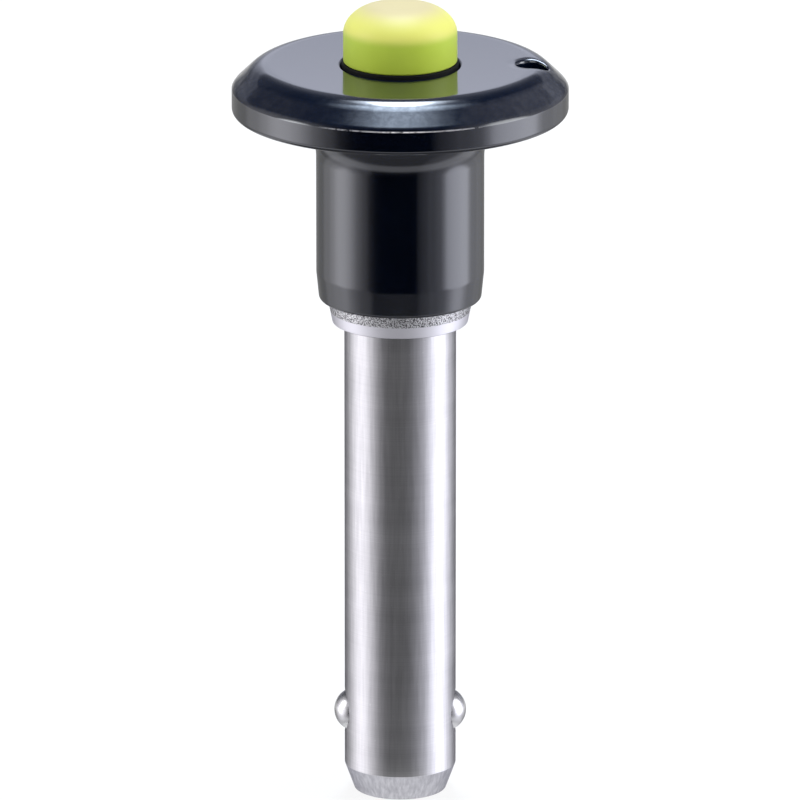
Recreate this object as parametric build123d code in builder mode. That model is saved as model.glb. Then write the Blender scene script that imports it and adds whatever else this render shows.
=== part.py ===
from build123d import *
from math import atan, cos, radians, sin, sqrt, tan
import os

os.makedirs("parts", exist_ok=True)

# Self-locking ball pin with a mushroom grip, standing on the flat face of its tip.
# Millimetres. The origin is the middle of that face and +Z runs up to the button.
# Pressing the button pushes the spindle down, and its ramp lets the two balls sink into the shank.

# Shank
shank_diameter = 16.0
shank_length = 70.1
lead_in_length = 3.85
lead_in_angle = 20.3
tip_edge_round = 0.25
tip_bore_chamfer = 0.3

# Collar, a short cone between the shank and the grip
collar_foot_diameter = 19.4
collar_top_diameter = 20.8
collar_height = 3.5
collar_edge_break = 0.12
spigot_diameter = 14.0
spigot_chamfer = 0.6

# Locking balls
ball_diameter = 6.35
ball_spread = 19.0
ball_height = 11.65
ball_sunk_depth = 0.08
ball_bore_clearance = 0.04
ball_seat_gap = 0.03
lip_overhang = 0.24
lip_gap = 0.03
lip_thickness = 0.2
mouth_bevel_angle = 49.0

# Plunger: spindle, hub and cap
button_travel = 4.5
running_clearance = 0.08
rod_diameter = 4.0
guide_length = 5.0
stop_gap = 0.05
spindle_end_inset = 0.7
spindle_end_chamfer = 0.5
hub_clearance = 0.1
hub_rise = 0.3
hub_edge_break = 0.15
hub_boss_diameter = 12.4
hub_boss_height = 5.6
hub_skirt_length = 10.5
hub_skirt_wall = 1.0
spring_seat_depth = 2.0
thread_depth = 10.0
bond_gap = 0.02

cap_diameter = 16.25
cap_side_height = 4.75
cap_shoulder_height = 3.4
cap_shoulder_width = 4.6
cap_foot_round = 0.3

# Return spring
spring_wire = 1.0
spring_mean_diameter = 11.6
spring_turns = 6.5
spring_seat_gap = 0.02

# Grip: barrel, flare, disc and the well that takes the button
barrel_diameter = 24.0
barrel_foot_diameter = 23.2
barrel_taper_length = 3.95
barrel_foot_round = 0.5
barrel_length = 27.5
flare_radius = 6.0
underside_angle = 4.0
disc_diameter = 48.0
rim_height = 3.5
rim_low_round = 0.8
rim_edge_break = 0.15
crown_height = 3.6
flank_angle = 44.0
flank_end_round = 3.0
flank_end_angle = 60.0
crown_round = 2.8
well_diameter = 16.9
well_depth = 22.2
well_edge_round = 0.5
lanyard_hole_diameter = 4.4
lanyard_hole_inset = 5.2
lanyard_edge_round = 0.5

# Radii and levels that follow from the sizes above
shank_radius = shank_diameter / 2
tip_radius = shank_radius - lead_in_length * tan(radians(lead_in_angle))
collar_top = shank_length + collar_height
rim_foot = collar_top + barrel_length
rim_top = rim_foot + rim_height
face_height = rim_top + crown_height
well_floor = face_height - well_depth
well_radius = well_diameter / 2

# The lanyard hole keeps its distance from the disc's rim.
lanyard_hole_reach = disc_diameter / 2 - lanyard_hole_inset

# The balls stand out by half their spread and sink just below the shank's surface.
ball_radius = ball_diameter / 2
ball_out = ball_spread / 2 - ball_radius
ball_in = shank_radius - ball_sunk_depth - ball_radius
ball_travel = ball_out - ball_in
ball_bore_radius = ball_radius + ball_bore_clearance
lip_radius = ball_bore_radius - lip_overhang
lip_start = ball_out + sqrt(ball_radius**2 - lip_radius**2) + lip_gap
bevel_start = lip_start + lip_thickness
bevel_end = max(shank_radius, bevel_start) + lip_thickness
bevel_radius = lip_radius + (bevel_end - bevel_start) * tan(radians(mouth_bevel_angle))

# The ramp runs parallel to the path of a ball's centre, one ball radius inside it.
ramp_slope = ball_travel / button_travel
ramp_angle = atan(ramp_slope)
land_radius = ball_out - ball_radius - ball_seat_gap
neck_radius = ball_in - ball_radius - ball_seat_gap
ramp_radius_at_ball = ball_out - (ball_radius + ball_seat_gap) / cos(ramp_angle)
ramp_foot = ball_height - (land_radius - ramp_radius_at_ball) / ramp_slope
ramp_top = ball_height + (ramp_radius_at_ball - neck_radius) / ramp_slope
ball_room = ball_radius + ball_seat_gap
guide_foot = ball_height + button_travel + sqrt(ball_room**2 - (ball_in - land_radius) ** 2)
guide_top = guide_foot + guide_length
core_bore_radius = land_radius + running_clearance
rod_radius = rod_diameter / 2
rod_bore_radius = rod_radius + running_clearance
spindle_foot = spindle_end_inset + button_travel

# The hub fills the well and carries the cap on its shoulder.
hub_radius = well_radius - hub_clearance
hub_shoulder = face_height + hub_rise
hub_foot = hub_shoulder - hub_skirt_length
spring_top = hub_foot + spring_seat_depth
rod_top = spring_top + thread_depth
boss_radius = hub_boss_diameter / 2
boss_top = hub_shoulder + hub_boss_height
cap_radius = cap_diameter / 2
cap_side_top = hub_shoulder + cap_side_height
cap_top = cap_side_top + cap_shoulder_height


def corner(section, radius, height):
    """The corner of a turned section nearest to a radius and a height."""
    return section.vertices().sort_by_distance((radius, height))[0]


# Stainless shank, turned with its collar and spigot from one bar and bored through.
with BuildPart() as shank:
    with BuildSketch(Plane.XZ):
        with BuildLine():
            Polyline(
                (core_bore_radius, 0),
                (tip_radius, 0),
                (shank_radius, lead_in_length),
                (shank_radius, shank_length),
                (collar_foot_diameter / 2, shank_length),
                (collar_top_diameter / 2, collar_top),
                (spigot_diameter / 2, collar_top),
                (spigot_diameter / 2, well_floor),
                (rod_bore_radius, well_floor),
                (rod_bore_radius, guide_top + stop_gap),
                (core_bore_radius, guide_top + stop_gap),
                close=True,
            )
        make_face()
    revolve(axis=Axis.Z)
    tip_edges = shank.edges().filter_by(GeomType.CIRCLE).group_by(Axis.Z)[0].sort_by(SortBy.RADIUS)
    chamfer(tip_edges[0], tip_bore_chamfer)
    fillet(tip_edges[-1], tip_edge_round)
    collar_ring = shank.edges().filter_by(GeomType.CIRCLE).filter_by_position(
        Axis.Z, shank_length, shank_length
    )
    chamfer(collar_ring.sort_by(SortBy.RADIUS)[-1], collar_edge_break)
    spigot_ring = shank.edges().filter_by(GeomType.CIRCLE).group_by(Axis.Z)[-1].sort_by(SortBy.RADIUS)
    chamfer(spigot_ring[-1], spigot_chamfer)
    # Each ball runs in a cross bore. Crescents of the lip above and below it keep it in the shank,
    # and a bevel opens the mouth.
    for side in (-1, 1):
        bore_plane = Plane(origin=(0, 0, ball_height), x_dir=(0, 1, 0), z_dir=(side, 0, 0))
        with BuildSketch(bore_plane):
            Circle(ball_bore_radius)
        extrude(amount=lip_start, mode=Mode.SUBTRACT)
        with BuildSketch(bore_plane):
            Circle(lip_radius)
        extrude(amount=shank_radius, mode=Mode.SUBTRACT)
        with BuildSketch(Plane.XZ):
            with BuildLine():
                Polyline(
                    (side * bevel_start, ball_height),
                    (side * bevel_start, ball_height + lip_radius),
                    (side * bevel_end, ball_height + bevel_radius),
                    (side * bevel_end, ball_height),
                    close=True,
                )
            make_face()
        revolve(axis=Axis((0, 0, ball_height), (1, 0, 0)), mode=Mode.SUBTRACT)
shank.part.label = "shank"

# Spindle: land that holds the balls out, ramp and neck that let them in, guide, shoulder and rod.
with BuildPart() as spindle:
    with BuildSketch(Plane.XZ):
        with BuildLine():
            Polyline(
                (0, spindle_foot),
                (land_radius, spindle_foot),
                (land_radius, ramp_foot),
                (neck_radius, ramp_top),
                (neck_radius, guide_foot),
                (land_radius, guide_foot),
                (land_radius, guide_top),
                (rod_radius, guide_top),
                (rod_radius, rod_top),
                (0, rod_top),
                close=True,
            )
        make_face()
    revolve(axis=Axis.Z)
    chamfer(spindle.edges().filter_by(GeomType.CIRCLE).group_by(Axis.Z)[0], spindle_end_chamfer)
    chamfer(spindle.edges().filter_by(GeomType.CIRCLE).group_by(Axis.Z)[-1], spindle_end_chamfer)
spindle.part.label = "spindle"

# One hardened ball to the left and one to the right.
with BuildPart() as left_ball:
    with Locations((-ball_out, 0, ball_height)):
        Sphere(ball_radius)
left_ball.part.label = "left_ball"

with BuildPart() as right_ball:
    with Locations((ball_out, 0, ball_height)):
        Sphere(ball_radius)
right_ball.part.label = "right_ball"

# Grip: one turned piece. Its disc has a flat face and a conical flank that steepens towards the
# rim, from the flank's angle to the flank's end angle, along an arc.
arc_centre_radius = disc_diameter / 2 - flank_end_round * sin(radians(flank_end_angle))
arc_centre_height = rim_top - flank_end_round * cos(radians(flank_end_angle))


def flank_arc_point(tilt):
    """The point of the flank's end arc where the surface is tilted by this many degrees."""
    return (
        arc_centre_radius + flank_end_round * sin(radians(tilt)),
        arc_centre_height + flank_end_round * cos(radians(tilt)),
    )


flank_foot = flank_arc_point(flank_angle)
face_corner = flank_foot[0] - (face_height - flank_foot[1]) / tan(radians(flank_angle))
flare_corner = rim_foot - (disc_diameter - barrel_diameter) / 2 * tan(radians(underside_angle))
with BuildPart() as grip:
    with BuildSketch(Plane.YZ) as grip_section:
        with BuildLine():
            Polyline(
                (spigot_diameter / 2 + bond_gap, collar_top),
                (barrel_foot_diameter / 2, collar_top),
                (barrel_diameter / 2, collar_top + barrel_taper_length),
                (barrel_diameter / 2, flare_corner),
                (disc_diameter / 2, rim_foot),
                (disc_diameter / 2, rim_top),
            )
            ThreePointArc(
                (disc_diameter / 2, rim_top),
                flank_arc_point((flank_angle + flank_end_angle) / 2),
                flank_foot,
            )
            Polyline(
                flank_foot,
                (face_corner, face_height),
                (well_radius, face_height),
                (well_radius, well_floor),
                (spigot_diameter / 2 + bond_gap, well_floor),
                (spigot_diameter / 2 + bond_gap, collar_top),
            )
        make_face()
        fillet(corner(grip_section, barrel_foot_diameter / 2, collar_top), barrel_foot_round)
        fillet(corner(grip_section, barrel_diameter / 2, flare_corner), flare_radius)
        fillet(corner(grip_section, disc_diameter / 2, rim_foot), rim_low_round)
        fillet(corner(grip_section, disc_diameter / 2, rim_top), rim_edge_break)
        fillet(corner(grip_section, face_corner, face_height), crown_round)
        fillet(corner(grip_section, well_radius, face_height), well_edge_round)
    revolve(axis=Axis.Z)
    # Hole near the rim for a lanyard's ring, with soft edges.
    with BuildSketch(Plane.XY.offset(rim_foot - flare_radius)):
        with Locations((lanyard_hole_reach, 0)):
            Circle(lanyard_hole_diameter / 2)
    extrude(amount=face_height - rim_foot + 2 * flare_radius, mode=Mode.SUBTRACT)
    hole_wall = grip.faces().filter_by(GeomType.CYLINDER).sort_by(
        lambda face: abs(face.radius - lanyard_hole_diameter / 2)
    )[0]
    fillet(hole_wall.edges().filter_by(GeomType.LINE, reverse=True), lanyard_edge_round)
grip.part.label = "grip"

# Hub: the black piston of the plunger, screwed on the rod, with the spring's seat in its skirt.
with BuildPart() as button_hub:
    with BuildSketch(Plane.XZ):
        with BuildLine():
            Polyline(
                (rod_radius + bond_gap, spring_top),
                (hub_radius - hub_skirt_wall, spring_top),
                (hub_radius - hub_skirt_wall, hub_foot),
                (hub_radius, hub_foot),
                (hub_radius, hub_shoulder),
                (boss_radius, hub_shoulder),
                (boss_radius, boss_top),
                (0, boss_top),
                (0, rod_top + bond_gap),
                (rod_radius + bond_gap, rod_top + bond_gap),
                close=True,
            )
        make_face()
    revolve(axis=Axis.Z)
    shoulder_ring = button_hub.edges().filter_by(GeomType.CIRCLE).filter_by_position(
        Axis.Z, hub_shoulder, hub_shoulder
    )
    chamfer(shoulder_ring.sort_by(SortBy.RADIUS)[-1], hub_edge_break)
    boss_ring = button_hub.edges().filter_by(GeomType.CIRCLE).group_by(Axis.Z)[-1]
    chamfer(boss_ring, hub_edge_break)
button_hub.part.label = "button_hub"

# Cap: moulded shell over the hub's boss, with an elliptical shoulder and a level top.
with BuildPart() as button_cap:
    with BuildSketch(Plane.XZ) as cap_section:
        with BuildLine():
            Polyline(
                (cap_radius - cap_shoulder_width, cap_top),
                (0, cap_top),
                (0, boss_top + bond_gap),
                (boss_radius + bond_gap, boss_top + bond_gap),
                (boss_radius + bond_gap, hub_shoulder),
                (cap_radius, hub_shoulder),
                (cap_radius, cap_side_top),
            )
            EllipticalCenterArc(
                (cap_radius - cap_shoulder_width, cap_side_top),
                cap_shoulder_width,
                cap_shoulder_height,
                start_angle=0,
                arc_size=90,
            )
        make_face()
        fillet(corner(cap_section, cap_radius, hub_shoulder), cap_foot_round)
    revolve(axis=Axis.Z)
button_cap.part.label = "button_cap"

# Return spring round the rod, from the floor of the well to the hub.
spring_rise = spring_top - well_floor - spring_wire - 2 * spring_seat_gap
with BuildPart() as return_spring:
    with BuildLine():
        coil = Helix(
            pitch=spring_rise / spring_turns,
            height=spring_rise,
            radius=spring_mean_diameter / 2,
            center=(0, 0, well_floor + spring_seat_gap + spring_wire / 2),
        )
    with BuildSketch(Plane(origin=coil @ 0, z_dir=coil % 0)):
        Circle(spring_wire / 2)
    sweep(is_frenet=True)
return_spring.part.label = "return_spring"

export_step(shank.part, "parts/shank.step")
export_step(spindle.part, "parts/spindle.step")
export_step(left_ball.part, "parts/left_ball.step")
export_step(right_ball.part, "parts/right_ball.step")
export_step(grip.part, "parts/grip.step")
export_step(button_hub.part, "parts/button_hub.step")
export_step(button_cap.part, "parts/button_cap.step")
export_step(return_spring.part, "parts/return_spring.step")
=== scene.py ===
import math

import bmesh
import bpy
import numpy as np
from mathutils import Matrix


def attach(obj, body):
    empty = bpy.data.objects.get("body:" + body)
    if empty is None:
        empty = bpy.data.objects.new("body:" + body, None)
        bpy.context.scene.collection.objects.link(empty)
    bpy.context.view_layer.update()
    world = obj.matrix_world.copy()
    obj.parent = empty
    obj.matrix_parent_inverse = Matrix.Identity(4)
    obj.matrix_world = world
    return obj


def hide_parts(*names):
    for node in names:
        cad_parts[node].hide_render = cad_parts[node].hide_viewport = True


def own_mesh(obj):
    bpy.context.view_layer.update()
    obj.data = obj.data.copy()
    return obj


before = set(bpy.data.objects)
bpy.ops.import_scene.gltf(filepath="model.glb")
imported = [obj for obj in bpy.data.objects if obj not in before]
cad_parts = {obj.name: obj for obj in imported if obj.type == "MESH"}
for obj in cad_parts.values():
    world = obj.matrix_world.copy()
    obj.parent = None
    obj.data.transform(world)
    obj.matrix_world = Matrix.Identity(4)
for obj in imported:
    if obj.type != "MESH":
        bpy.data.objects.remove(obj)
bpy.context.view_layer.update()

MM = 0.001

# Sizes in millimetres, the origin in the middle of the tip's flat face and +Z towards the button.
# A FOOT, TOP, HEIGHT or FLOOR is a height above the tip, a REACH is a distance from the axis.

# Shank with its collar, core bore and spigot, turned from one bar.
SHANK_RADIUS = 8.0
LEAD_IN_TOP = 3.85
TIP_RADIUS = 6.575
COLLAR_FOOT = 70.1
COLLAR_STEP = 71.8
COLLAR_TOP = 73.6
COLLAR_RADII = (9.7, 10.04, 10.4)  # at its foot, step and top
CORE_RADIUS = 3.2
CORE_TOP = 23.96
ROD_BORE_RADIUS = 2.08
BORE_BEVEL = 0.3
SPIGOT_RADIUS = 7.0
SPIGOT_BEVEL = 0.6
WELL_FLOOR = 86.0
WELL_RADIUS = 8.45

# Locking balls, and the cross bore that a staked lip closes round each of them.
BALL_RADIUS = 3.175
BALL_REACH = 6.325
BALL_HEIGHT = 11.65
CROSS_BORE_RADIUS = 3.215
LIP_RADIUS = 2.975
LIP_REACH = (7.464, 7.664)  # its inner and outer edge
MOUTH_RADIUS = 3.7
MOUTH_REACH = 8.3

# Grip: barrel, flare, disc with its bevel, and the lanyard hole.
BARREL_RADIUS = 12.0
BARREL_FOOT = 77.55
BARREL_END_RADIUS = 11.6
FLARE_SLOPE = 4.0  # degrees under the disc
FLARE_ROUND = 6.0
DISC_RADIUS = 24.0
RIM_FOOT = 101.1
RIM_TOP = 104.6
BEVEL_CURVE = 3.0
BEVEL_TILTS = (60.0, 44.0)  # degrees, at the rim and where the bevel turns straight
FACE_HEIGHT = 108.2
FACE_ROUND = 4.3
FACE_HOLLOW = 0.17
FACE_REACH = 18.7
HOLE_REACH = 18.8
HOLE_RADIUS = 2.2
HOLE_ROUND = 0.5
DISH_WIDTH = 1.2
DISH_DEPTH = 0.07

# Push button: hub with its boss, and the cap on it.
HUB_RADIUS = 8.35
HUB_FOOT = 98.0
HUB_SKIRT = 1.0
HUB_SHOULDER = 108.5
BOSS_RADIUS = 6.2
BOSS_TOP = 114.1
CAP_RADIUS = 8.125
CAP_SIDE_TOP = 112.75
CAP_TOP = 116.65
SHOULDER_WIDTH = 4.9
SHOULDER_POWER = 1.88

# Spindle: rod, with the land, the neck between its ramp and a piston, from the tip up.
ROD_RADIUS = 2.0
LAND_RADIUS = 3.12
NECK_RADIUS = 1.54
SPINDLE_FOOT = 5.2
LAND_TOP = 11.1
NECK_FOOT = 15.6
NECK_TOP = 18.91
PISTON_TOP = 23.91
SPINDLE_TOP = 110.0
SPINDLE_BEVEL = 0.5

# Return spring under the hub.
SPRING_TOP = 100.0
WIRE = 1.0
COIL_RADIUS = 5.8
ACTIVE_TURNS = 5.5
CLOSED_TURNS = 1.6

BOND_GAP = 0.02  # between pieces that are fixed to each other
FLOOR_HEIGHT = -0.05  # of the studio floor, just below the tip

# The photograph's camera, in metres and degrees: it looks down at a point on the axis.
CAMERA_TILT = 16.7176
CAMERA_DISTANCE = 1.949493
AIM_HEIGHT = 0.058083
CAMERA_LENS = 612.17  # millimetres
CAMERA_SHIFT = (-0.00025, 0.000625)

# Fineness of the meshes, with angles in degrees.
COLUMNS = 480
FINE_COLUMNS = 320
COARSE_COLUMNS = 160
SHARP_ANGLE = 32.0
ARC_STEP = 5.0
EDGE_MARGIN = 0.04
BALL_GRID = 33
PATCH_INNER, PATCH_OUTER = 14.4, 22.95  # radii between which the hole's patch lies
PATCH_HALF = 17  # columns to each side of the hole
PATCH_ROWS = 9


# ---- shapes

def rounded(corners, step=0.8, close=False):
    """A turned section from (radius, height, rounding) corners, as an array of (radius, height).

    Each rounded corner becomes the arc tangent to both its sides: with a turn of t it starts
    rounding * tan(t / 2) before the corner, and its points turn by at most ARC_STEP degrees
    each. Straight runs are cut into equal steps, with a point EDGE_MARGIN from each end so
    that shading stays crisp."""
    count = len(corners)
    points = np.array([c[:2] for c in corners], float)
    arcs = []
    for i, corner in enumerate(corners):
        if not close and i in (0, count - 1):
            arcs.append(points[i : i + 1])
            continue
        before = points[i] - points[i - 1]
        after = points[(i + 1) % count] - points[i]
        before /= np.linalg.norm(before)
        after /= np.linalg.norm(after)
        turn = math.atan2(before[0] * after[1] - before[1] * after[0], before @ after)
        if corner[2] <= 0 or abs(turn) < 0.01:
            arcs.append(points[i : i + 1])
            continue
        side = np.array([-before[1], before[0]]) * math.copysign(1, turn)
        start = points[i] - before * corner[2] * math.tan(abs(turn) / 2)
        steps = max(3, int(math.degrees(abs(turn)) / ARC_STEP) + 2)
        angles = np.linspace(0, abs(turn), steps)[:, None]
        arc = before * corner[2] * np.sin(angles) + side * corner[2] * (1 - np.cos(angles))
        arcs.append(start + arc)
    pieces = []
    for i, arc in enumerate(arcs):
        pieces.append(arc)
        if not close and i == count - 1:
            break
        start, end = arc[-1], arcs[(i + 1) % count][0]
        length = np.linalg.norm(end - start)
        if length > 3 * EDGE_MARGIN:
            inner = np.linspace(0, 1, max(2, int(length / step) + 1))[1:-1]
            ends = EDGE_MARGIN / length
            inner = inner[(inner > 1.5 * ends) & (inner < 1 - 1.5 * ends)]
            at = np.concatenate([[ends], inner, [1 - ends]])
            pieces.append(start + (end - start) * at[:, None])
    return np.concatenate(pieces)


def turned(section, columns=COLUMNS):
    """Rings of a surface turned about Z: (r cos a, r sin a, z) for each point and angle a."""
    angle = np.linspace(0, 2 * np.pi, columns, endpoint=False)
    radius, height = section[:, 0, None], section[:, 1, None]
    return np.stack([radius * np.cos(angle), radius * np.sin(angle), height + 0 * angle], axis=2)


def quads(rings, around=True, along=False, skip=None):
    """Faces of a grid of rings: each joins two neighbours in a ring with the same two in the next.

    around closes each ring, along joins the last to the first, and skip marks faces left out."""
    rows, columns = rings.shape[:2]
    i = np.arange(rows if along else rows - 1)[:, None]
    j = np.arange(columns if around else columns - 1)[None, :]
    below, above = i * columns, (i + 1) % rows * columns
    right = (j + 1) % columns
    faces = np.stack([below + j, below + right, above + right, above + j], axis=2)
    return faces[~skip] if skip is not None else faces.reshape(-1, 4)


def new_piece(name, parts, sharp=SHARP_ANGLE):
    """A mesh object in metres from (points, faces) parts given in millimetres.

    Points that coincide are merged, which closes seams and poles, faces are turned outwards, and
    edges sharper than the given angle are kept sharp."""
    points, faces, start = [], [], 0
    for part_points, part_faces in parts:
        flat = part_points.reshape(-1, 3)
        points.append(flat)
        faces.append(part_faces + start)
        start += len(flat)
    mesh = bpy.data.meshes.new(name)
    mesh.from_pydata((np.concatenate(points) * MM).tolist(), [], np.concatenate(faces).tolist())
    work = bmesh.new()
    work.from_mesh(mesh)
    bmesh.ops.remove_doubles(work, verts=work.verts, dist=1e-6)
    bmesh.ops.dissolve_degenerate(work, edges=work.edges, dist=1e-7)
    bmesh.ops.recalc_face_normals(work, faces=work.faces)
    work.to_mesh(mesh)
    work.free()
    finish_shading(mesh, sharp)
    piece = bpy.data.objects.new(name, mesh)
    bpy.context.scene.collection.objects.link(piece)
    return piece


def finish_shading(mesh, sharp):
    """Smooth shading that stays sharp at edges steeper than the given angle."""
    mesh.shade_smooth()
    mesh.set_sharp_from_angle(angle=math.radians(sharp))
    mesh.update()


def lathe(name, corners, close=False, step=0.8, columns=COLUMNS):
    """A turned piece from the corners of its section."""
    rings = turned(rounded(corners, step, close), columns)
    return new_piece(name, [(rings, quads(rings, along=close))])


def cut(piece, tool):
    """Takes a closed cutting shape out of a piece for good, and removes the cutting shape."""
    modifier = piece.modifiers.new("cut", "BOOLEAN")
    modifier.operation = "DIFFERENCE"
    modifier.solver = "EXACT"
    modifier.object = tool
    bpy.context.view_layer.update()
    evaluated = piece.evaluated_get(bpy.context.evaluated_depsgraph_get())
    result = bpy.data.meshes.new_from_object(evaluated)
    piece.modifiers.clear()
    old = piece.data
    piece.data = result
    result.name = piece.name
    bpy.data.meshes.remove(old)
    bpy.data.objects.remove(tool)
    finish_shading(result, SHARP_ANGLE)


def ball(name, side):
    """A locking ball: the six grids of a cube blown up to a sphere, with (tan u, tan v) spacing."""
    steps = np.tan(np.linspace(-np.pi / 4, np.pi / 4, BALL_GRID))
    u, v = np.meshgrid(steps, steps, indexing="ij")
    w = np.ones_like(u)
    parts = []
    for axis in range(3):
        for sign in (-1, 1):
            face = np.roll(np.stack([w * sign, u, v], axis=2), axis, axis=2)
            face *= BALL_RADIUS / np.linalg.norm(face, axis=2, keepdims=True)
            face += (side * BALL_REACH, 0, BALL_HEIGHT)
            parts.append((face, quads(face, around=False)))
    return new_piece(name, parts, sharp=60.0)


def spring(name, floor, top, wire, mean_radius, active_turns, closed_turns):
    """A compression spring: a circle swept along a helix that is closed up at both ends.

    The height rises by the pitch's running sum, and the tube is pressed level at its two seats."""
    steps_per_turn, wire_columns, closed_pitch = 72, 20, 0.96 * wire
    turns = active_turns + closed_turns
    path = np.linspace(0, turns, int(turns * steps_per_turn) + 1)
    closeness = np.clip(np.minimum(path, turns - path) / (closed_turns / 2), 0, 1)
    blend = closeness**4
    rise = np.concatenate([[0], np.cumsum((blend[1:] + blend[:-1]) / 2 * np.diff(path))])
    flat = path * closed_pitch
    free = top - floor - wire - flat[-1]
    height = floor + wire / 2 + flat + rise / rise[-1] * free
    angle = 2 * np.pi * path[:, None]
    around = np.linspace(0, 2 * np.pi, wire_columns, endpoint=False)[None, :]
    out = mean_radius + wire / 2 * np.cos(around)
    z = height[:, None] + wire / 2 * np.sin(around)
    rings = np.stack([out * np.cos(angle), out * np.sin(angle), np.clip(z, floor, top)], axis=2)
    parts = [(rings, quads(rings))]
    for ring in (rings[0], rings[-1]):
        end = np.stack([ring, np.broadcast_to(ring.mean(axis=0), ring.shape)])
        parts.append((end, quads(end)))
    return new_piece(name, parts, sharp=50.0)


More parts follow.
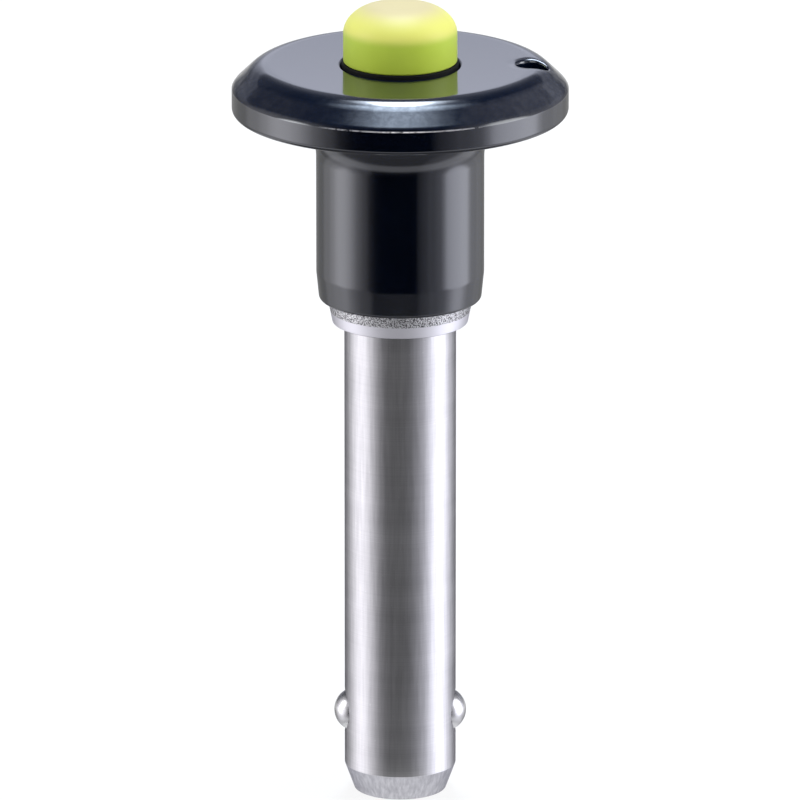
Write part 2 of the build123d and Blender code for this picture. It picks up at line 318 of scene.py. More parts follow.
def grip_piece(name):
    """The turned grip with its lanyard hole.

    The section is turned about Z. Round the hole a patch of that surface is left out on the disc's
    upper and lower side and filled by one tube of rings: each ring runs round the hole, from the
    patch's border in to the hole's rounded lip, down the wall and out again to the lower border.
    The height of the rings follows the section at their own distance from the axis, less the
    quarter circle of the lip and a shallow dish round it. The whole face is hollow by
    FACE_HOLLOW * (1 - (r / FACE_REACH)^2)."""
    flare_corner = RIM_FOOT - (DISC_RADIUS - BARREL_RADIUS) * math.tan(math.radians(FLARE_SLOPE))
    tilt = np.radians(np.linspace(*BEVEL_TILTS, 7))
    arc_radius = DISC_RADIUS + BEVEL_CURVE * (np.sin(tilt) - math.sin(tilt[0]))
    arc_height = RIM_TOP + BEVEL_CURVE * (np.cos(tilt) - math.cos(tilt[0]))
    face_corner = arc_radius[-1] - (FACE_HEIGHT - arc_height[-1]) / math.tan(tilt[-1])
    outside = rounded(
        [
            (SPIGOT_RADIUS + BOND_GAP, COLLAR_TOP, 0),
            (BARREL_END_RADIUS, COLLAR_TOP, 0.5),
            (BARREL_RADIUS, BARREL_FOOT, 3.0),
            (BARREL_RADIUS, flare_corner, FLARE_ROUND),
            (DISC_RADIUS, RIM_FOOT, 0.8),
            (DISC_RADIUS, RIM_TOP, 0.15),
        ]
        + [(r, z, 0) for r, z in zip(arc_radius[1:], arc_height[1:])]
        + [
            (face_corner, FACE_HEIGHT, FACE_ROUND),
            (WELL_RADIUS, FACE_HEIGHT, 0.5),
            (WELL_RADIUS, WELL_FLOOR, 0.1),
            (SPIGOT_RADIUS + BOND_GAP, WELL_FLOOR, 0),
        ],
        step=2.2,
    )
    rim = int(np.argmax(outside[:, 0] > DISC_RADIUS - 0.01))
    lower, upper = outside[:rim], outside[rim:][::-1]
    lower = lower[int(np.argmax(lower[:, 0] > BARREL_RADIUS + 0.05)) - 1 :]
    upper = upper[int(np.argmax(upper[:, 1] > FACE_HEIGHT - 0.001)) :]
    crown = upper[(upper[:, 0] > PATCH_INNER + 0.05) & (upper[:, 0] < PATCH_OUTER - 0.05), 0]
    crown_start, row_step = 19.2, 0.4
    level_rows = np.arange(PATCH_INNER + row_step, crown_start, row_step)
    crown_rows = crown[crown > crown_start]
    radii = np.unique(np.concatenate([[PATCH_INNER], level_rows, crown_rows, [PATCH_OUTER]]))

    def level(curve, radius):
        """Height of a section's curve at a distance from the axis."""
        order = np.argsort(curve[:, 0], kind="stable")
        return np.interp(radius, curve[order, 0], curve[order, 1])

    first = outside[: int(np.argmax((outside[:, 0] > PATCH_INNER) & (outside[:, 1] > WELL_FLOOR)))]
    beyond = outside[outside[:, 0] > PATCH_OUTER + 0.02]
    last = outside[rim:]
    last = last[last[:, 0] < PATCH_INNER - 0.02]
    under_rows = np.stack([radii, level(lower, radii)], axis=1)
    over_rows = np.stack([radii[::-1], level(upper, radii[::-1])], axis=1)
    section = np.concatenate([first, under_rows, beyond, over_rows, last])
    rings = turned(section)
    skip = np.zeros((len(section), COLUMNS), bool)
    beside = np.r_[0:PATCH_HALF, COLUMNS - PATCH_HALF : COLUMNS]
    start_under, start_over = len(first), len(first) + len(radii) + len(beyond)
    span = len(radii) - 1
    skip[start_under : start_under + span, beside] = True
    skip[start_over : start_over + span, beside] = True
    turn = np.arange(-PATCH_HALF, PATCH_HALF + 1) * 2 * np.pi / COLUMNS
    border = np.concatenate(
        [
            np.stack([np.full(2 * PATCH_HALF, radii[0]), turn[:-1]], axis=1),
            np.stack([radii[:-1], np.full(span, turn[-1])], axis=1),
            np.stack([np.full(2 * PATCH_HALF, radii[-1]), turn[:0:-1]], axis=1),
            np.stack([radii[:0:-1], np.full(span, turn[0])], axis=1),
        ]
    )
    x = border[:, 0] * np.cos(border[:, 1]) - HOLE_REACH
    y = border[:, 0] * np.sin(border[:, 1])
    away, bearing = np.hypot(x, y), np.arctan2(y, x)
    inward = np.linspace(0, 1, PATCH_ROWS)[:, None] ** 0.85
    lip = np.radians(np.linspace(0, 90, 8))[1:, None]
    to_lip = away + (HOLE_RADIUS + HOLE_ROUND - away) * inward
    round_lip = HOLE_RADIUS + HOLE_ROUND * (1 - np.sin(lip)) + 0 * away
    reach = np.concatenate([to_lip, round_lip])
    drop = np.concatenate([0 * away + 0 * inward, HOLE_ROUND * (1 - np.cos(lip)) + 0 * away])
    nearness = np.clip(1 - (reach - HOLE_RADIUS - HOLE_ROUND) / DISH_WIDTH, 0, 1)
    drop = drop + DISH_DEPTH * nearness**2
    px, py = HOLE_REACH + reach * np.cos(bearing), reach * np.sin(bearing)
    distance = np.hypot(px, py)
    over = np.stack([px, py, level(upper, distance) - drop], axis=2)
    under = np.stack([px, py, level(lower, distance) + drop], axis=2)[::-1]
    share = np.linspace(0, 1, PATCH_ROWS)[1:-1, None, None]
    wall = over[-1] + (under[0] - over[-1]) * share
    tube = np.concatenate([over, wall, under])
    for grid in (rings, tube):
        share = np.clip(grid[:, :, 2] - FACE_HEIGHT + 1.0, 0, 1)
        off_axis = np.hypot(grid[:, :, 0], grid[:, :, 1])
        grid[:, :, 2] -= FACE_HOLLOW * share * np.clip(1 - (off_axis / FACE_REACH) ** 2, 0, 1)
    return new_piece(name, [(rings, quads(rings, along=True, skip=skip)), (tube, quads(tube))])


def shank_piece(name):
    """The turned shank, less the two ball mouths: a stepped and bevelled shape turned about X."""
    piece = lathe(
        name,
        [
            (CORE_RADIUS + BORE_BEVEL, 0, 0.05),
            (TIP_RADIUS, 0, 0.25),
            (SHANK_RADIUS, LEAD_IN_TOP, 0.2),
            (SHANK_RADIUS, COLLAR_FOOT, 0.1),
            (COLLAR_RADII[0], COLLAR_FOOT, 0.15),
            (COLLAR_RADII[1], COLLAR_STEP, 0),
            (COLLAR_RADII[2], COLLAR_TOP, 0.08),
            (SPIGOT_RADIUS, COLLAR_TOP, 0),
            (SPIGOT_RADIUS, WELL_FLOOR - SPIGOT_BEVEL, 0),
            (SPIGOT_RADIUS - SPIGOT_BEVEL, WELL_FLOOR, 0),
            (ROD_BORE_RADIUS, WELL_FLOOR, 0),
            (ROD_BORE_RADIUS, CORE_TOP, 0),
            (CORE_RADIUS, CORE_TOP, 0),
            (CORE_RADIUS, BORE_BEVEL, 0.05),
        ],
        close=True,
        step=4.0,
        columns=360,
    )
    mouth = [
        (0, MOUTH_REACH),
        (MOUTH_RADIUS, MOUTH_REACH),
        (LIP_RADIUS, LIP_REACH[1]),
        (LIP_RADIUS, LIP_REACH[0]),
        (CROSS_BORE_RADIUS, LIP_REACH[0]),
    ]
    section = np.array([(radius, -reach) for radius, reach in mouth] + mouth[::-1])
    rings = turned(section, 96)
    rings = rings[:, :, [2, 0, 1]] + np.array([0, 0, BALL_HEIGHT])
    cut(piece, new_piece("mouth_cutter", [(rings, quads(rings))]))
    return piece


def cap_piece(name):
    """The moulded cap: cylindrical side, shoulder and level top, hollow for the hub's boss.

    The shoulder is a quarter of |x / width|^p + |z / height|^p = 1 with a power p just under 2, so
    that it leaves the side with a soft crease."""
    angle = np.radians(np.linspace(0, 90, 31))
    inward = SHOULDER_WIDTH * (1 - np.cos(angle) ** (2 / SHOULDER_POWER))
    rise = (CAP_TOP - CAP_SIDE_TOP) * np.sin(angle) ** (2 / SHOULDER_POWER)
    shoulder = [(CAP_RADIUS - x, CAP_SIDE_TOP + z, 0) for x, z in zip(inward, rise)]
    return lathe(
        name,
        [
            (0, BOSS_TOP + BOND_GAP, 0),
            (BOSS_RADIUS + BOND_GAP, BOSS_TOP + BOND_GAP, 0),
            (BOSS_RADIUS + BOND_GAP, HUB_SHOULDER, 0),
            (CAP_RADIUS, HUB_SHOULDER, 0.3),
        ]
        + shoulder
        + [(0, CAP_TOP, 0)],
        step=0.5,
        columns=FINE_COLUMNS,
    )


def hub_piece(name):
    """The hub: a piston with a skirt round the spring's top and a boss that carries the cap."""
    return lathe(
        name,
        [
            (ROD_RADIUS + BOND_GAP, SPRING_TOP, 0),
            (HUB_RADIUS - HUB_SKIRT, SPRING_TOP, 0),
            (HUB_RADIUS - HUB_SKIRT, HUB_FOOT, 0),
            (HUB_RADIUS, HUB_FOOT, 0.1),
            (HUB_RADIUS, HUB_SHOULDER, 0.15),
            (BOSS_RADIUS, HUB_SHOULDER, 0),
            (BOSS_RADIUS, BOSS_TOP, 0.15),
            (0, BOSS_TOP, 0),
            (0, SPINDLE_TOP + BOND_GAP, 0),
            (ROD_RADIUS + BOND_GAP, SPINDLE_TOP + BOND_GAP, 0),
        ],
        columns=FINE_COLUMNS,
        close=True,
    )


def spindle_piece(name):
    """The spindle: a land that holds the balls out, a ramp and neck to free them, and the rod."""
    return lathe(
        name,
        [
            (0, SPINDLE_FOOT + SPINDLE_BEVEL, 0),
            (SPINDLE_BEVEL, SPINDLE_FOOT, 0),
            (LAND_RADIUS - SPINDLE_BEVEL, SPINDLE_FOOT, 0.1),
            (LAND_RADIUS, SPINDLE_FOOT + SPINDLE_BEVEL, 0.1),
            (LAND_RADIUS, LAND_TOP, 0.2),
            (NECK_RADIUS, NECK_FOOT, 0.2),
            (NECK_RADIUS, NECK_TOP, 0.1),
            (LAND_RADIUS, NECK_TOP, 0.1),
            (LAND_RADIUS, PISTON_TOP, 0.1),
            (ROD_RADIUS, PISTON_TOP, 0),
            (ROD_RADIUS, SPINDLE_TOP - SPINDLE_BEVEL, 0.1),
            (ROD_RADIUS - SPINDLE_BEVEL, SPINDLE_TOP, 0.1),
            (0, SPINDLE_TOP, 0),
        ],
        columns=COARSE_COLUMNS,
    )


# ---- materials

class Finish:
    """A material with one Principled shader, whose node tree is filled in by small calls."""

    def __init__(self, name, **sockets):
        self.material = bpy.data.materials.new(name)
        self.material.use_nodes = True
        self.nodes = self.material.node_tree.nodes
        self.links = self.material.node_tree.links
        self.shader = self.nodes["Principled BSDF"]
        for key, value in sockets.items():
            socket = key.replace("_", " ").title().replace("Ior", "IOR")
            self.shader.inputs[socket].default_value = value
        self.place = self.nodes.new("ShaderNodeTexCoord").outputs["Object"]

    def put(self, socket, value):
        """Links a socket to an output, or sets its value."""
        if isinstance(value, bpy.types.NodeSocket):
            self.links.new(value, socket)
        else:
            socket.default_value = value

    def math(self, operation, *values):
        """One step of arithmetic on outputs or numbers."""
        node = self.nodes.new("ShaderNodeMath")
        node.operation = operation
        for socket, value in zip(node.inputs, values):
            self.put(socket, value)
        return node.outputs[0]

    def scaled(self, x, y, z):
        """Object coordinates in millimetres, stretched along each axis."""
        node = self.nodes.new("ShaderNodeMapping")
        node.vector_type = "POINT"
        self.put(node.inputs["Vector"], self.place)
        node.inputs["Scale"].default_value = (x / MM, y / MM, z / MM)
        return node.outputs[0]

    def noise(self, vector, scale=1.0, detail=2.0, rough=0.5):
        """A noise between 0 and 1, mostly near a half."""
        node = self.nodes.new("ShaderNodeTexNoise")
        self.put(node.inputs["Vector"], vector)
        node.inputs["Scale"].default_value = scale
        node.inputs["Detail"].default_value = detail
        node.inputs["Roughness"].default_value = rough
        return node.outputs["Fac"]

    def ramp(self, value, low, high, to_low=0.0, to_high=1.0, smooth=False):
        """A value from low to high turned into to_low to to_high, and held level beyond both."""
        node = self.nodes.new("ShaderNodeMapRange")
        node.interpolation_type = "SMOOTHSTEP" if smooth else "LINEAR"
        node.clamp = True
        keys = ("Value", "From Min", "From Max", "To Min", "To Max")
        for key, item in zip(keys, (value, low, high, to_low, to_high)):
            self.put(node.inputs[key], item)
        return node.outputs[0]

    def part(self, axis):
        """One object coordinate in metres: 0 across, 1 in depth, 2 height above the tip's face."""
        node = self.nodes.new("ShaderNodeSeparateXYZ")
        self.put(node.inputs[0], self.place)
        return node.outputs[axis]

    def mix(self, share, first, second):
        """The first colour turning into the second as the share goes from 0 to 1."""
        node = self.nodes.new("ShaderNodeMix")
        node.data_type = "RGBA"
        self.put(node.inputs[0], share)
        self.put(node.inputs[6], first)
        self.put(node.inputs[7], second)
        return node.outputs[2]

    def bump(self, height, strength, distance, normal=None):
        """Fine relief of the given depth in metres, on top of another one where given."""
        node = self.nodes.new("ShaderNodeBump")
        self.put(node.inputs["Strength"], strength)
        node.inputs["Distance"].default_value = distance
        self.put(node.inputs["Height"], height)
        if normal is not None:
            self.put(node.inputs["Normal"], normal)
        return node.outputs[0]

    def give(self, **sockets):
        """Fills the shader's sockets and hands over the finished material."""
        for key, value in sockets.items():
            self.put(self.shader.inputs[key.replace("_", " ").title()], value)
        return self.material


def gloss_black_anodised():
    """Black anodised aluminium: a hard gloss with a faint haze, smeared on the bevel by hands.

    Above the rim's edge the black is painted a lighter blue black: painted light from above. Along
    the front of that sharp edge, in small dots where a noise is high, pale metal is a painted
    highlight."""
    f = Finish(
        "gloss_black_anodised", ior=1.87, specular_tint=(0.93, 0.96, 1.0, 1.0), coat_roughness=0.2
    )
    grain = f.noise(f.scaled(1, 1, 1), 3.2, 3.0, 0.6)
    cloud = f.noise(f.scaled(1, 1, 1), 0.22, 2.0)
    turning = f.noise(f.scaled(0.1, 0.1, 1), 5.0, 2.0)
    smears = f.noise(f.scaled(1, 1, 1), 0.8, 6.0, 0.75)
    height = f.part(2)
    above_edge = f.ramp(height, RIM_TOP * MM, (RIM_TOP + 0.6) * MM)
    below_face = f.ramp(height, (FACE_HEIGHT - 0.1) * MM, (FACE_HEIGHT - 0.8) * MM)
    handled = f.math("MULTIPLY", above_edge, below_face)
    haze = f.math("ADD", f.math("MULTIPLY", handled, f.ramp(smears, 0.4, 0.61, -0.35, 0.52)), 0.35)
    # Painted highlight along the rim's sharp edge: pale, metallic, rougher dots, only on the front,
    # the camera's side.
    edge = f.math(
        "MULTIPLY",
        f.ramp(height, (RIM_TOP - 0.1) * MM, (RIM_TOP - 0.05) * MM),
        f.ramp(height, (RIM_TOP + 0.13) * MM, (RIM_TOP + 0.06) * MM),
    )
    across, depth = f.part(0), f.part(1)
    middle = f.ramp(f.math("ABSOLUTE", across), 12 * MM, 5 * MM)
    front = f.math("MULTIPLY", middle, f.ramp(depth, 0.0, -8 * MM))
    dots = f.ramp(f.noise(f.scaled(1, 1, 1), 1.7, 3.0, 0.7), 0.38, 0.5)
    painted_highlight_dots = f.math("MULTIPLY", f.math("MULTIPLY", edge, front), dots)
    # The lighter blue black above the rim's edge is painted light, standing in for light falling
    # from above.
    deep = f.mix(cloud, (0.0004, 0.0013, 0.0045, 1), (0.0008, 0.0023, 0.0072, 1))
    painted_lit_blue_black = f.mix(cloud, (0.0004, 0.0028, 0.011, 1), (0.0008, 0.005, 0.017, 1))
    black = f.mix(above_edge, deep, painted_lit_blue_black)
    # The pale colour (0.95, 0.91, 0.9) on the edge dots is a painted highlight.
    colour = f.mix(painted_highlight_dots, black, (0.95, 0.91, 0.9, 1))
    fine_rough = f.ramp(grain, 0.35, 0.75, 0.0, 0.03)
    rough = f.math("ADD", f.ramp(cloud, 0.3, 0.7, 0.045, 0.07), fine_rough)
    rough = f.math("ADD", rough, f.math("MULTIPLY", painted_highlight_dots, 0.16))
    normal = f.bump(grain, 0.06, 0.00004)
    normal = f.bump(turning, 0.04, 0.00004, normal)
    highlight_dot_metal = f.math("MULTIPLY", painted_highlight_dots, 0.8)
    return f.give(
        base_color=colour, metallic=highlight_dot_metal, roughness=rough, coat_weight=haze, normal=normal
    )


def ground_stainless():
    """Ground stainless steel: fine lines round the shank, a blasted band, turned faces, of which
    the lead-in is painted paler as painted light.
    """
    f = Finish("ground_stainless", metallic=1.0, specular_tint=(0.18, 0.18, 0.2, 1.0))
    height = f.part(2)
    fine = f.noise(f.scaled(0.02, 0.02, 7), 1.0, 2.0, 0.6)
    broad = f.noise(f.scaled(0.05, 0.05, 0.4), 1.0, 2.0)
    speckle = f.noise(f.scaled(1, 1, 1), 5.8, 1.0, 0.6)
    streaks = f.noise(f.scaled(2.2, 2.2, 0.12), 1.0, 2.0, 0.6)
    specks = f.ramp(f.noise(f.scaled(1, 1, 1), 2.6, 1.0), 0.72, 0.78)
    band = f.math(
        "MULTIPLY",
        f.ramp(height, (COLLAR_STEP - 0.03) * MM, (COLLAR_STEP + 0.03) * MM),
        f.ramp(height, (COLLAR_TOP + 0.01) * MM, (COLLAR_TOP - 0.01) * MM),
    )
    lead_in = f.ramp(height, (LEAD_IN_TOP + 0.05) * MM, (LEAD_IN_TOP - 0.05) * MM)
    lines = f.math("ADD", f.math("MULTIPLY", fine, 0.6), f.math("MULTIPLY", broad, 0.4))
    pattern = f.mix(band, lines, speckle)
    streaky = f.ramp(streaks, 0.3, 0.7)
    shade = f.math("MULTIPLY", f.math("ADD", f.ramp(lines, 0.3, 0.7), streaky), 0.5)
    plain = f.mix(shade, (0.5, 0.498, 0.515, 1), (0.73, 0.726, 0.745, 1))
    plain = f.mix(f.math("MULTIPLY", specks, 0.35), plain, (0.85, 0.85, 0.86, 1))
    grit = f.mix(f.ramp(speckle, 0.41, 0.54), (0.1, 0.1, 0.108, 1), (0.9, 0.9, 0.92, 1))
    collar = f.ramp(height, (COLLAR_FOOT - 0.02) * MM, (COLLAR_FOOT + 0.02) * MM)
    turned_faces = f.math("ADD", lead_in, collar)
    cone = f.mix(streaky, (0.46, 0.458, 0.5, 1), (0.66, 0.657, 0.7, 1))
    # The lead-in's colour is brighter than the steel's own: partly a turned finish, partly painted
    # light standing in for light from the ground.
    bright = f.mix(turned_faces, plain, f.mix(lead_in, (0.93, 0.925, 0.98, 1), cone))
    colour = f.mix(band, bright, grit)
    ground_rough = f.ramp(lines, 0.3, 0.7, 0.335, 0.39)
    rough = f.math("ADD", ground_rough, f.math("MULTIPLY", turned_faces, 0.1))
    strength = f.math("ADD", f.math("MULTIPLY", band, 0.8), 0.1)
    normal = f.bump(pattern, strength, 0.00006)
    return f.give(base_color=colour, roughness=rough, normal=normal)


def polished_ball_steel():
    """Hardened, polished ball steel with a faint haze and hairline scratches."""
    f = Finish("polished_ball_steel", metallic=1.0)
    haze = f.noise(f.scaled(1, 1, 1), 0.9, 3.0)
    scratches = f.noise(f.scaled(0.6, 9, 0.6), 1.0, 2.0, 0.7)
    colour = f.mix(haze, (0.56, 0.56, 0.57, 1), (0.66, 0.66, 0.67, 1))
    scratched = f.ramp(scratches, 0.6, 0.75, 0.0, 0.06)
    rough = f.math("ADD", f.ramp(haze, 0.35, 0.7, 0.26, 0.34), scratched)
    return f.give(base_color=colour, roughness=rough, normal=f.bump(scratches, 0.03, 0.00003))


def moulded_lime():
    """Matt moulded plastic in lime with a very fine grain; its top is painted paler and creamier,
    palest in the middle: painted light and a painted highlight from above.
    """
    f = Finish(
        "moulded_lime",
        ior=1.42,
        sheen_weight=0.12,
        sheen_roughness=0.4,
        sheen_tint=(1.0, 0.93, 0.8, 1.0),
    )
    grain = f.noise(f.scaled(1, 1, 1), 9.0, 3.0, 0.6)
    cloud = f.noise(f.scaled(1, 1, 1), 0.35, 2.0)
    shade = f.math("MULTIPLY", f.math("ADD", grain, cloud), 0.5)
    lime = f.mix(shade, (0.52, 0.68, 0.05, 1), (0.6, 0.75, 0.07, 1))
    # Painted light: the shoulder and top are painted a paler yellow, and the middle of the top a
    # creamy white, standing in for the light and highlight from above.
    painted_lit_top = f.ramp(f.part(2), (CAP_SIDE_TOP - 0.4) * MM, (CAP_SIDE_TOP + 1.2) * MM, smooth=True)
    squares = f.math("ADD", f.math("POWER", f.part(0), 2.0), f.math("POWER", f.part(1), 2.0))
    painted_highlight_centre = f.ramp(f.math("SQRT", squares), 8.0 * MM, 3.8 * MM, smooth=True)
    colour = f.mix(painted_lit_top, lime, f.mix(painted_highlight_centre, (0.79, 0.77, 0.152, 1), (0.7, 0.595, 0.3, 1)))
    rough = f.ramp(grain, 0.3, 0.7, 0.42, 0.52)
    return f.give(base_color=colour, roughness=rough, normal=f.bump(grain, 0.1, 0.00004))


def matt_black_hub():
    """Matt black plastic of the hub, with fine turning marks."""
    f = Finish("matt_black_hub", ior=1.3)
    marks = f.noise(f.scaled(0.2, 0.2, 6), 1.0, 2.0)
    grain = f.noise(f.scaled(1, 1, 1), 8.0, 2.0)
    colour = f.mix(grain, (0.0015, 0.0015, 0.0018, 1), (0.004, 0.004, 0.0044, 1))
    rough = f.ramp(marks, 0.3, 0.7, 0.6, 0.75)
    return f.give(base_color=colour, roughness=rough, normal=f.bump(marks, 0.15, 0.00005))


def turned_spindle_steel():
    """Turned stainless spindle: rings on its end face and fine marks along its length."""
    f = Finish("turned_spindle_steel", metallic=1.0)
    marks = f.noise(f.scaled(0.15, 0.15, 6), 1.0, 3.0, 0.6)
    wave = f.nodes.new("ShaderNodeTexWave")
    wave.wave_type, wave.rings_direction = "RINGS", "Z"
    f.put(wave.inputs["Vector"], f.scaled(1, 1, 1))
    wave.inputs["Scale"].default_value = 1.4
    wave.inputs["Distortion"].default_value = 0.6
    pattern = f.math("MULTIPLY", f.math("ADD", marks, wave.outputs["Fac"]), 0.5)
    colour = f.mix(pattern, (0.48, 0.48, 0.49, 1), (0.62, 0.62, 0.63, 1))
    rough = f.ramp(marks, 0.3, 0.7, 0.22, 0.34)
    return f.give(base_color=colour, roughness=rough, normal=f.bump(pattern, 0.15, 0.00005))


def drawn_spring_wire():
    """Drawn spring wire: grey steel with soft streaks and slight dulling."""
    f = Finish("drawn_spring_wire", metallic=1.0)
    streaks = f.noise(f.scaled(0.8, 0.8, 3), 1.0, 3.0)
    colour = f.mix(streaks, (0.36, 0.36, 0.37, 1), (0.52, 0.52, 0.53, 1))
    rough = f.ramp(streaks, 0.3, 0.7, 0.28, 0.42)
    return f.give(base_color=colour, roughness=rough, normal=f.bump(streaks, 0.1, 0.00004))


def pale_floor():
    """A plain white floor with a soft shadow, close to paper white where the camera sees it."""
    material = bpy.data.materials.new("pale_floor")
    material.use_nodes = True
    nodes, links = material.node_tree.nodes, material.node_tree.links
    nodes.remove(nodes["Principled BSDF"])
    diffuse = nodes.new("ShaderNodeBsdfDiffuse")
    diffuse.inputs["Color"].default_value = (0.8, 0.8, 0.8, 1)
    glow = nodes.new("ShaderNodeEmission")
    glow.inputs["Color"].default_value = (1, 1, 1, 1)
    glow.inputs["Strength"].default_value = 1.06
    path = nodes.new("ShaderNodeLightPath")
    seen = path.outputs["Is Camera Ray"]
    for kind in ("Is Glossy Ray", "Is Transmission Ray"):
        either = nodes.new("ShaderNodeMath")
        either.operation = "MAXIMUM"
        links.new(seen, either.inputs[0])
        links.new(path.outputs[kind], either.inputs[1])
        seen = either.outputs[0]
    # The seen floor is part glow and part lit paint: the paint's share keeps the shadow.
    share = nodes.new("ShaderNodeMath")
    share.operation = "MULTIPLY"
    share.inputs[1].default_value = 0.8
    mix = nodes.new("ShaderNodeMixShader")
    links.new(seen, share.inputs[0])
    links.new(share.outputs[0], mix.inputs[0])
    links.new(diffuse.outputs[0], mix.inputs[1])
    links.new(glow.outputs[0], mix.inputs[2])
    links.new(mix.outputs[0], nodes["Material Output"].inputs["Surface"])
    return material


# ---- the pin

pieces = [
    (shank_piece("ground_shank"), "shank", "housing", "stainless_steel", ground_stainless()),
    (grip_piece("turned_grip"), "grip", "housing", "black_anodised", gloss_black_anodised()),
    (cap_piece("lime_cap"), "button_cap", "plunger", "lime_plastic", moulded_lime()),
    (hub_piece("hub_piston"), "button_hub", "plunger", "black_plastic", matt_black_hub()),
    (
        spindle_piece("ramp_spindle"),
        "spindle",
        "plunger",
        "stainless_steel",
        turned_spindle_steel(),
    ),
]
ball_steel = polished_ball_steel()
pieces += [
    (ball("steel_ball_left", -1), "left_ball", "left_ball", "ball_steel", ball_steel),
    (ball("steel_ball_right", 1), "right_ball", "right_ball", "ball_steel", ball_steel),
]
coil_foot, coil_top = WELL_FLOOR + BOND_GAP, SPRING_TOP - BOND_GAP
coil = spring("return_coil", coil_foot, coil_top, WIRE, COIL_RADIUS, ACTIVE_TURNS, CLOSED_TURNS)
pieces.append((coil, "return_spring", "housing", "spring_steel", drawn_spring_wire()))
for piece, node, body, slot, material in pieces:
    piece.data.materials.append(material)
    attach(piece, body)
    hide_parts(node)
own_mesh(coil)

# ---- floor, light and camera

def floor_ring(name, radii):
    """A level ring of the floor just below the tip: circles at the given radii in metres."""
    circles = np.stack([np.array(radii), np.full(len(radii), FLOOR_HEIGHT * MM)], axis=1)
    rings = turned(circles, 96)
    mesh = bpy.data.meshes.new(name)
    mesh.from_pydata(rings.reshape(-1, 3).tolist(), [], quads(rings)[:, ::-1].tolist())
    piece = bpy.data.objects.new(name, mesh)
    bpy.context.scene.collection.objects.link(piece)
    return piece


# The metal sees the floor only close to the tip: further out it sees the studio's own dark and
# light ground, which the photograph shows in the black grip.
floor_paint = pale_floor()
near_edge = 2 * SHANK_RADIUS * MM
near_floor = floor_ring("near_floor", (0.0001, near_edge))
far_floor = floor_ring("far_floor", (near_edge, 0.1, 0.5, 2.0, 8.0))
far_floor.visible_glossy = False
for piece in (near_floor, far_floor):
    piece.data.materials.append(floor_paint)


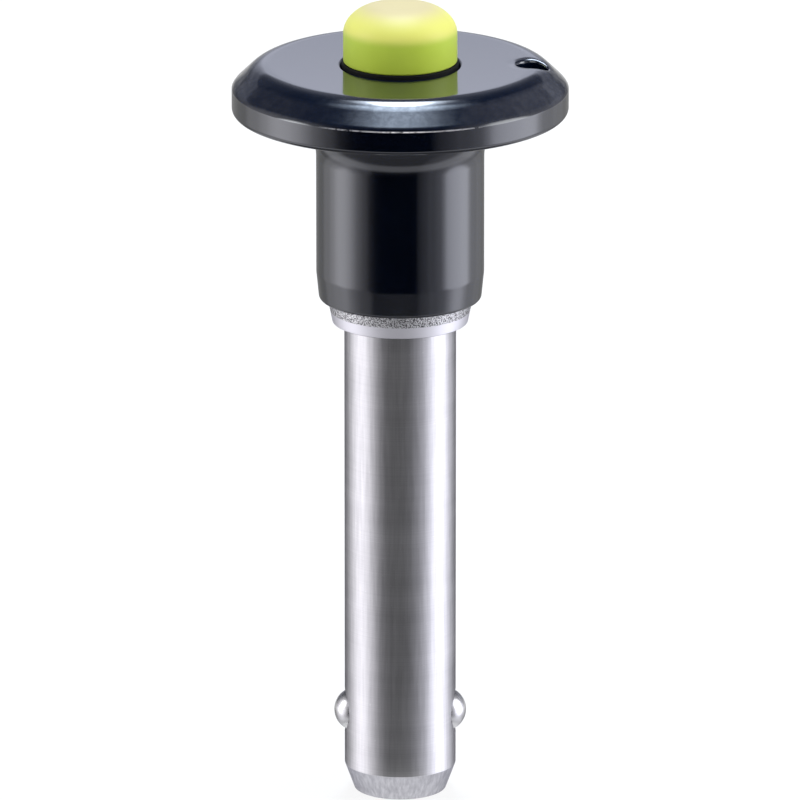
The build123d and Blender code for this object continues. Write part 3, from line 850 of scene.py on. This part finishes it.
def studio_world():
    """Studio surroundings, as a colour for each direction.

    A white backdrop stands behind the pin and fades to the sides and down to the horizon, where a
    weak skirting and a low light at the back follow. The ground is pale far below. The rest of the
    studio is dark, with a tall soft lamp to the left, weaker at its front end, a brighter one to
    the right, one above the camera, small ones high at both sides and a strong narrow one high
    behind the pin with a softer halo overhead. The camera itself sees white all round."""
    world = bpy.data.worlds.new("studio")
    world.use_nodes = True
    bpy.context.scene.world = world
    nodes, links = world.node_tree.nodes, world.node_tree.links

    def node(kind, *inputs, **settings):
        """The outputs of a new node with its first inputs linked or set."""
        made = nodes.new(kind)
        for key, value in settings.items():
            setattr(made, key, value)
        for socket, value in zip(made.inputs, inputs):
            if isinstance(value, bpy.types.NodeSocket):
                links.new(value, socket)
            elif value is not None:
                socket.default_value = value
        return made.outputs

    def lamp(value, stops, tint=(1.0, 1.0, 1.0)):
        """Tinted brightness between the given (position, brightness) stops."""
        low, high = stops[0][0], stops[-1][0]
        peak = max(s[1] for s in stops)
        made = nodes.new("ShaderNodeValToRGB")
        elements = made.color_ramp.elements
        links.new(node("ShaderNodeMapRange", value, low, high, 0.0, 1.0)[0], made.inputs[0])
        while len(elements) < len(stops):
            elements.new(0.5)
        for element, (position, brightness) in zip(elements, stops):
            element.position = (position - low) / (high - low)
            element.color = (brightness / peak,) * 3 + (1,)
        strength = tuple(peak * channel for channel in tint)
        return both(made.outputs[0], strength)

    def both(first, second):
        """The product of two colours: of two lamps, it is lit only where both are."""
        return node("ShaderNodeVectorMath", first, second, operation="MULTIPLY")[0]

    def towards(axis):
        """Cosine of the angle between the direction and an axis."""
        return node("ShaderNodeVectorMath", direction, axis, operation="DOT_PRODUCT")["Value"]

    direction = node("ShaderNodeTexCoord")["Generated"]
    x, y, z = node("ShaderNodeSeparateXYZ", direction)
    outward = node("ShaderNodeMath", x, operation="ABSOLUTE")[0]
    backdrop = both(
        lamp(
            z,
            [(-0.04, 0.0), (0.0, 0.32), (0.12, 0.45), (0.2, 0.98), (0.3, 0.95)]
            + [(0.335, 1.2), (0.37, 0.25), (0.5, 0.2), (0.9, 0.1), (1.0, 0.0)],
            (0.965, 1.0, 1.18),
        ),
        both(
            lamp(outward, [(0.1, 1.0), (0.2, 0.5), (0.3, 0.25), (0.6, 0.2), (0.8, 0.1)]),
            lamp(y, [(0.3, 0.0), (0.75, 1.0)]),
        ),
    )
    ground = lamp(
        z,
        [(-1.0, 0.17), (-0.78, 0.17), (-0.7, 0.64), (-0.57, 0.64)]
        + [(-0.455, 0.03), (-0.3, 0.0), (0.0, 0.0), (0.04, 0.03)],
        (1.0, 1.0, 1.04),
    )
    low_back = both(
        lamp(
            z,
            [(-0.5, 0.0), (-0.42, 0.38), (-0.27, 0.4), (-0.21, 0.95)]
            + [(-0.1, 0.8), (-0.03, 0.3), (0.0, 0.0)],
        ),
        lamp(y, [(-0.2, 0.0), (0.25, 0.6), (0.45, 0.75), (0.7, 0.75)]),
    )
    skirting = both(
        lamp(z, [(-0.12, 0.0), (-0.04, 0.15), (0.06, 0.15), (0.12, 0.0)]),
        lamp(y, [(0.75, 0.0), (0.9, 1.0)]),
    )
    right = lamp(
        towards((0.998, -0.06, 0.0)),
        [(0.4, 0.0), (0.48, 0.12), (0.62, 0.24), (0.67, 0.34), (0.74, 0.34)]
        + [(0.843, 0.55), (0.88, 1.0), (0.915, 1.9), (0.955, 2.25)],
        (1.0, 1.0, 1.1),
    )
    left = lamp(
        towards((-0.9928, -0.12, 0.0)),
        [(0.45, 0.0), (0.58, 0.05), (0.62, 0.07), (0.7, 0.3), (0.816, 0.46)]
        + [(0.86, 0.7), (0.898, 0.95), (0.948, 1.8), (0.97, 1.9)],
        (1.02, 1.0, 1.05),
    )
    left = both(
        left,
        lamp(
            y,
            [(-0.85, 0.15), (-0.72, 0.3), (-0.64, 0.85), (-0.5, 0.86), (-0.33, 0.88), (-0.13, 1.1)]
            + [(0.1, 1.08), (0.34, 1.25), (0.5, 1.15), (0.65, 1.25), (0.9, 1.35)],
        ),
    )
    overhead_halo = lamp(
        towards((0.0, 0.12, 0.9928)),
        [(0.84, 0.0), (0.8876, 0.2), (0.905, 0.8), (0.92, 1.5)]
        + [(0.93, 2.05), (0.955, 3.6), (0.975, 5.5), (1.0, 6.0)],
        (0.86, 1.0, 1.2),
    )
    overhead_halo = both(
        overhead_halo,
        both(lamp(y, [(0.12, 1.0), (0.3, 0.2)]), lamp(outward, [(0.14, 1.0), (0.34, 0.5)])),
    )
    overhead = both(
        lamp(
            towards((0.0, 0.42, 0.9075)),
            [(0.965, 0.0), (0.98, 9.0), (0.99, 15.0), (1.0, 17.0)],
            (0.9, 1.0, 1.15),
        ),
        lamp(outward, [(0.07, 1.0), (0.13, 0.3), (0.2, 0.05)]),
    )
    over_camera = lamp(towards((0.0, -0.891, 0.454)), [(0.92, 0.0), (0.96, 1.3), (1.0, 1.65)])
    high_right = lamp(towards((0.9, -0.12, 0.42)), [(0.93, 0.0), (0.965, 2.7), (1.0, 3.3)])
    high_left = lamp(towards((-0.9, -0.12, 0.42)), [(0.962, 0.0), (0.985, 3.2), (1.0, 4.6)])
    total = ground
    for part in (
        backdrop,
        skirting,
        low_back,
        right,
        left,
        high_right,
        high_left,
        overhead_halo,
        overhead,
        over_camera,
    ):
        total = node("ShaderNodeVectorMath", total, part, operation="ADD")[0]
    studio = nodes["Background"]
    links.new(total, studio.inputs["Color"])
    white = nodes.new("ShaderNodeBackground")
    white.inputs["Color"].default_value = (1, 1, 1, 1)
    path = nodes.new("ShaderNodeLightPath")
    rays = path.outputs["Is Camera Ray"], path.outputs["Is Transmission Ray"]
    seen = node("ShaderNodeMath", *rays, operation="MAXIMUM")[0]
    mix = nodes.new("ShaderNodeMixShader")
    links.new(seen, mix.inputs[0])
    links.new(studio.outputs[0], mix.inputs[1])
    links.new(white.outputs[0], mix.inputs[2])
    links.new(mix.outputs[0], nodes["World Output"].inputs["Surface"])


studio_world()
scene = bpy.context.scene
scene.view_settings.view_transform = "Standard"
camera = bpy.data.cameras.new("photo_camera")
camera.sensor_width = 36.0
camera.lens = CAMERA_LENS
camera.shift_x, camera.shift_y = CAMERA_SHIFT
camera.clip_start, camera.clip_end = 0.05, 40.0
view = bpy.data.objects.new("photo_camera", camera)
scene.collection.objects.link(view)
tilt = math.radians(CAMERA_TILT)
view.location = (
    0,
    -CAMERA_DISTANCE * math.cos(tilt),
    AIM_HEIGHT + CAMERA_DISTANCE * math.sin(tilt),
)
view.rotation_euler = (math.pi / 2 - tilt, 0, 0)
scene.camera = view
